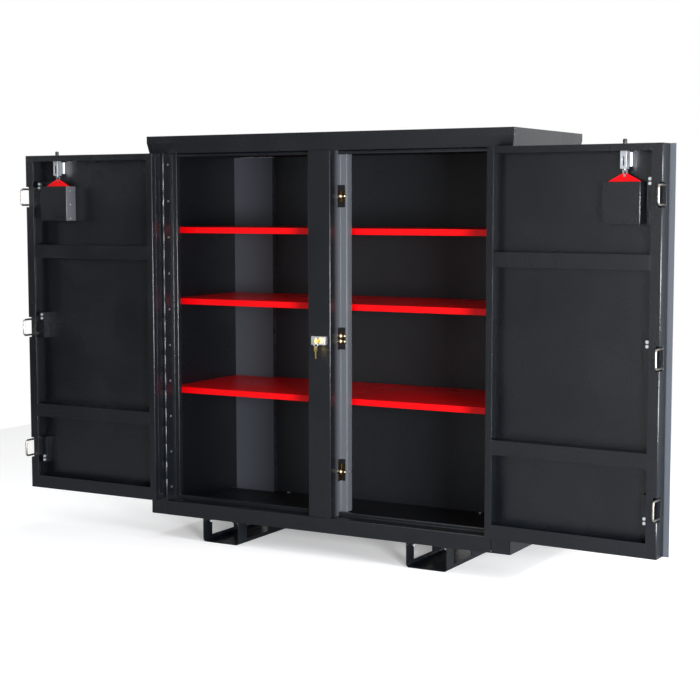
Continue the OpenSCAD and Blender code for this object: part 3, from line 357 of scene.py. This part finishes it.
# Coil spring in the bolt housing: a helix whose height eases in and out so that both ends lie flat, carried
# round by a circle of wire. Centre = (R cos a, R sin a, h(a)); the circle lies across the helix.
def springCoil(side):
    low, high = (np.array(corner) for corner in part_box(f"{side}_bolt_spring"))
    middle = (low + high) / 2
    wire = coilSpring["wire"] * mm
    radius = (high[0] - low[0]) / 2 - wire
    s = np.linspace(0, 1, int(coilSpring["turns"] * coilSpring["steps"]))
    a = s * coilSpring["turns"] * 2 * math.pi
    ends = coilSpring["endTurns"] / coilSpring["turns"]
    rise = np.clip((s - ends) / (1 - 2 * ends), 0, 1)
    flat = (np.minimum(s / ends, 1) + np.maximum((s - 1 + ends) / ends, 0)) / 2
    climb = (1 - coilSpring["endRise"]) * rise + coilSpring["endRise"] * flat
    height = low[2] + wire + (high[2] - low[2] - 2 * wire) * climb
    centre = np.stack([middle[0] + radius * np.cos(a), middle[1] + radius * np.sin(a), height], axis=-1)
    ahead = np.gradient(centre, axis=0)
    ahead /= np.linalg.norm(ahead, axis=1)[:, None]
    outward = np.stack([np.cos(a), np.sin(a), np.zeros(a.size)], axis=-1)
    up = np.cross(outward, ahead)
    b = np.linspace(0, 2 * math.pi, coilSpring["round"], endpoint=False)[None, :, None]
    ring = (outward[:, None, :] * np.cos(b) + up[:, None, :] * np.sin(b)) * wire
    piece = ringPiece(f"{side}_coil_spring", centre[:, None, :] + ring, springSteel, f"{side}_door")
    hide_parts(f"{side}_bolt_spring")
    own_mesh(piece)


for side in sides:
    springCoil(side)
print("coil springs made")

bodyUnderside = 96.0  # mm above the floor


# Door-plane points as world points at rest, in mm: x from the hinge axis along the door, t from the hinge
# axis towards the door's inner face, z above the body's underside.
def doorPoints(side, x, t, z):
    joint = next(j for j in frame["joints"] if j["name"] == f"{side}_door_hinge")
    hinge = joint["pos_m"]
    angle = math.radians(joint["range_deg"][1])  # from rest, open, to closed
    across = x * math.cos(angle) + t * math.sin(angle)
    deep = -x * math.sin(angle) + t * math.cos(angle)
    sign = 1 if side == "left" else -1
    return np.stack([hinge[0] + sign * across * mm, hinge[1] + deep * mm, (z + bodyUnderside) * mm], axis=-1)


# mm, but for the crown's angle in radians, which keeps the first ring from shrinking to a point
cupRivet = {"x": 457.0, "t": 39.5, "heights": (1358.0, 1300.0, 1241.0), "radius": 4.0, "rise": 2.0,
            "crown": 0.04, "rings": 7, "round": 24}


# Domed rivets on the cup's wall nearest the hinge: radius R sin(s) and rise H cos(s) for s from the crown to
# the rim, turned about the wall's normal, and a flat back on the wall.
def cupRivets(side):
    s = np.linspace(cupRivet["crown"], math.pi / 2, cupRivet["rings"])[:, None]
    b = np.linspace(0, 2 * math.pi, cupRivet["round"], endpoint=False)
    reach = cupRivet["radius"] * np.sin(s)
    rise = cupRivet["rise"] * np.cos(s) * np.ones(b.size)
    for number, height in enumerate(cupRivet["heights"]):
        rings = doorPoints(side, cupRivet["x"] - rise, cupRivet["t"] + reach * np.cos(b),
                           height + reach * np.sin(b))
        piece = ringPiece(f"{side}_cup_rivet_{number}", rings, springSteel, f"{side}_door")


for side in sides:
    cupRivets(side)
print("cup rivets made")


# 1 for a ray that looks, straight or through glass, and 1 for those and for a mirroring ray, else 0
def rayKinds(tree):
    path = addNode(tree, "ShaderNodeLightPath").outputs
    looks = addNode(tree, "ShaderNodeMath", {}, {0: path["Is Camera Ray"], 1: path["Is Transmission Ray"]},
                    operation="MAXIMUM").outputs[0]
    mirrors = addNode(tree, "ShaderNodeMath", {}, {0: looks, 1: path["Is Glossy Ray"]},
                      operation="MAXIMUM").outputs[0]
    return looks, mirrors


# metres; mirror is the share of the pale colour that a reflection shows, and bounce lights the object
paperFloor = {"size": 7.0, "colour": "#f4f4f4", "bounce": "#8c9096", "glow": 0.3, "glowColour": "#ffffff",
              "mirror": 0.3, "fibreMm": 25.0, "fibreStrength": 0.02, "roughness": 0.9}


# The floor is a square sheet of matte paper at floor height, four corners of one flat face. It looks pale and
# glows a little for what looks at it, and is darker for what it lights.
def stageFloor():
    half = paperFloor["size"] / 2
    corners = [[-half, -half, 0], [half, -half, 0], [half, half, 0], [-half, half, 0]]
    mesh = bpy.data.meshes.new("stageFloor")
    mesh.from_pydata(corners, [], [[0, 1, 2, 3]])
    floor = bpy.data.objects.new("stageFloor", mesh)
    bpy.context.scene.collection.objects.link(floor)
    material, tree = newMaterial("pale_paper_floor")
    point = addNode(tree, "ShaderNodeTexCoord").outputs["Object"]
    fibres = addNode(tree, "ShaderNodeTexNoise", {"Scale": 1 / (paperFloor["fibreMm"] * mm), "Detail": 2.0},
                     {"Vector": point})
    bump = addNode(tree, "ShaderNodeBump", {"Strength": paperFloor["fibreStrength"]},
                   {"Height": fibres.outputs["Fac"]})
    looks, mirrors = rayKinds(tree)
    mirrored = addNode(tree, "ShaderNodeMath", {1: paperFloor["mirror"]}, {0: mirrors}, operation="MULTIPLY")
    share = addNode(tree, "ShaderNodeMapRange", {}, {"Value": looks, "To Min": mirrored.outputs[0]})
    paper = addNode(tree, "ShaderNodeMixRGB",
                    {"Color1": toLinear(paperFloor["bounce"]), "Color2": toLinear(paperFloor["colour"])},
                    {"Fac": share.outputs["Result"]})
    matte = addNode(tree, "ShaderNodeBsdfPrincipled",
                    {"Roughness": paperFloor["roughness"], "Specular IOR Level": 0.0},
                    {"Base Color": paper.outputs["Color"], "Normal": bump.outputs["Normal"]}).outputs["BSDF"]
    glow = addNode(tree, "ShaderNodeEmission",
                   {"Color": toLinear(paperFloor["glowColour"]), "Strength": paperFloor["glow"]})
    glowing = addNode(tree, "ShaderNodeAddShader", {}, {0: matte, 1: glow.outputs["Emission"]})
    seen = addNode(tree, "ShaderNodeMixShader", {}, {0: looks, 1: matte, 2: glowing.outputs["Shader"]})
    addNode(tree, "ShaderNodeOutputMaterial", {}, {"Surface": seen.outputs["Shader"]})
    mesh.materials.append(material)


# Levels of the sky for what looks at it (1), what it lights, and what mirrors it. A mirror sees the right of
# the studio bright and its left dim, from dimX to brightX across the ray, and the wall behind, from dimY on.
paleSky = {"colour": "#ffffff", "lights": 0.4, "dimX": -0.54, "brightX": -0.32, "dimLevel": 0.03,
           "brightLevel": 1.0, "dimY": -0.4, "brightY": 0.05, "backLevel": 0.6}


# Plain white sky, dimmer for what it lights than for what looks at it. In reflections the studio's left side
# is dimmer, as a studio is with its softboxes on the right.
def whiteWorld():
    world = bpy.data.worlds.new("paleSky")
    bpy.context.scene.world = world
    world.use_nodes = True
    tree = world.node_tree
    tree.nodes.clear()
    looks, mirrors = rayKinds(tree)
    ray = addNode(tree, "ShaderNodeTexCoord").outputs["Generated"]
    way = addNode(tree, "ShaderNodeSeparateXYZ", {}, {"Vector": ray}).outputs
    across = addNode(tree, "ShaderNodeMapRange",
                     {"From Min": paleSky["dimX"], "From Max": paleSky["brightX"],
                      "To Min": paleSky["dimLevel"], "To Max": paleSky["brightLevel"]},
                     {"Value": way["X"]}, interpolation_type="SMOOTHSTEP").outputs["Result"]
    behind = addNode(tree, "ShaderNodeMapRange",
                     {"From Min": paleSky["dimY"], "From Max": paleSky["brightY"],
                      "To Max": paleSky["backLevel"]},
                     {"Value": way["Y"]}, interpolation_type="SMOOTHSTEP").outputs["Result"]
    studio = addNode(tree, "ShaderNodeMath", {}, {0: across, 1: behind}, operation="MAXIMUM").outputs[0]
    shown = addNode(tree, "ShaderNodeMapRange", {}, {"Value": looks, "To Min": studio}).outputs["Result"]
    level = addNode(tree, "ShaderNodeMapRange", {"To Min": paleSky["lights"]},
                    {"Value": mirrors, "To Max": shown}).outputs["Result"]
    sky = addNode(tree, "ShaderNodeBackground", {"Color": toLinear(paleSky["colour"])}, {"Strength": level})
    addNode(tree, "ShaderNodeOutputWorld", {}, {"Surface": sky.outputs["Background"]})


# Metres and watts. The two strong lamps on the right stay below the lid's plane, so that no glare lies on it.
lampColour = "#fbfcff"
lamps = {
    "rightSoftbox": {"at": (5.6, -1.15, 0.95), "aim": (0.2, -0.3, 0.9), "size": 1.5, "watts": 420},
    "bayThrow": {"at": (4.2, -4.4, 1.05), "aim": (-0.3, 0.0, 1.0), "size": 1.2, "watts": 450},
    "frontSoftbox": {"at": (0.9, -6.8, 1.3), "aim": (0.0, 0.0, 0.9), "size": 2.4, "watts": 45},
    "topSoftbox": {"at": (0.0, 0.5, 5.0), "aim": (0.0, 0.0, 0.5), "size": 3.5, "watts": 120},
    "leftStrip": {"at": (-5.5, -2.5, 2.0), "aim": (0.0, 0.0, 0.9), "size": 1.5, "watts": 25},
}


# a square area lamp that faces its aim
def softLamp(name, facts):
    data = bpy.data.lights.new(name, "AREA")
    data.energy = facts["watts"]
    data.size = facts["size"]
    data.color = toLinear(lampColour)[:3]
    lamp = bpy.data.objects.new(name, data)
    bpy.context.scene.collection.objects.link(lamp)
    away = np.subtract(facts["at"], facts["aim"])
    lamp.location = facts["at"]
    lamp.rotation_euler = (math.atan2(math.hypot(away[0], away[1]), away[2]), 0.0,
                           math.atan2(away[0], -away[1]))


stageFloor()
whiteWorld()
for name, facts in lamps.items():
    softLamp(name, facts)
print("stage and lamps set")

# the photograph's own viewpoint, fitted to the cabinet's straight edges: metres, millimetres and degrees
camera = {"at": (3.0780, -5.4909, 1.4000), "lens": 79.55, "sensor": 36.0, "reach": 200.0,
          "pitch": 5.416, "roll": 0.059, "yaw": 29.361}
lensData = bpy.data.cameras.new("photoCamera")
lensData.lens = camera["lens"]
lensData.sensor_width = camera["sensor"]
lensData.clip_end = camera["reach"]
photoCamera = bpy.data.objects.new("photoCamera", lensData)
photoCamera.location = camera["at"]
photoCamera.rotation_euler = (math.radians(90 - camera["pitch"]), math.radians(camera["roll"]),
                              math.radians(camera["yaw"]))
bpy.context.scene.collection.objects.link(photoCamera)
bpy.context.scene.camera = photoCamera
bpy.context.scene.view_settings.view_transform = "Standard"
print("camera set")
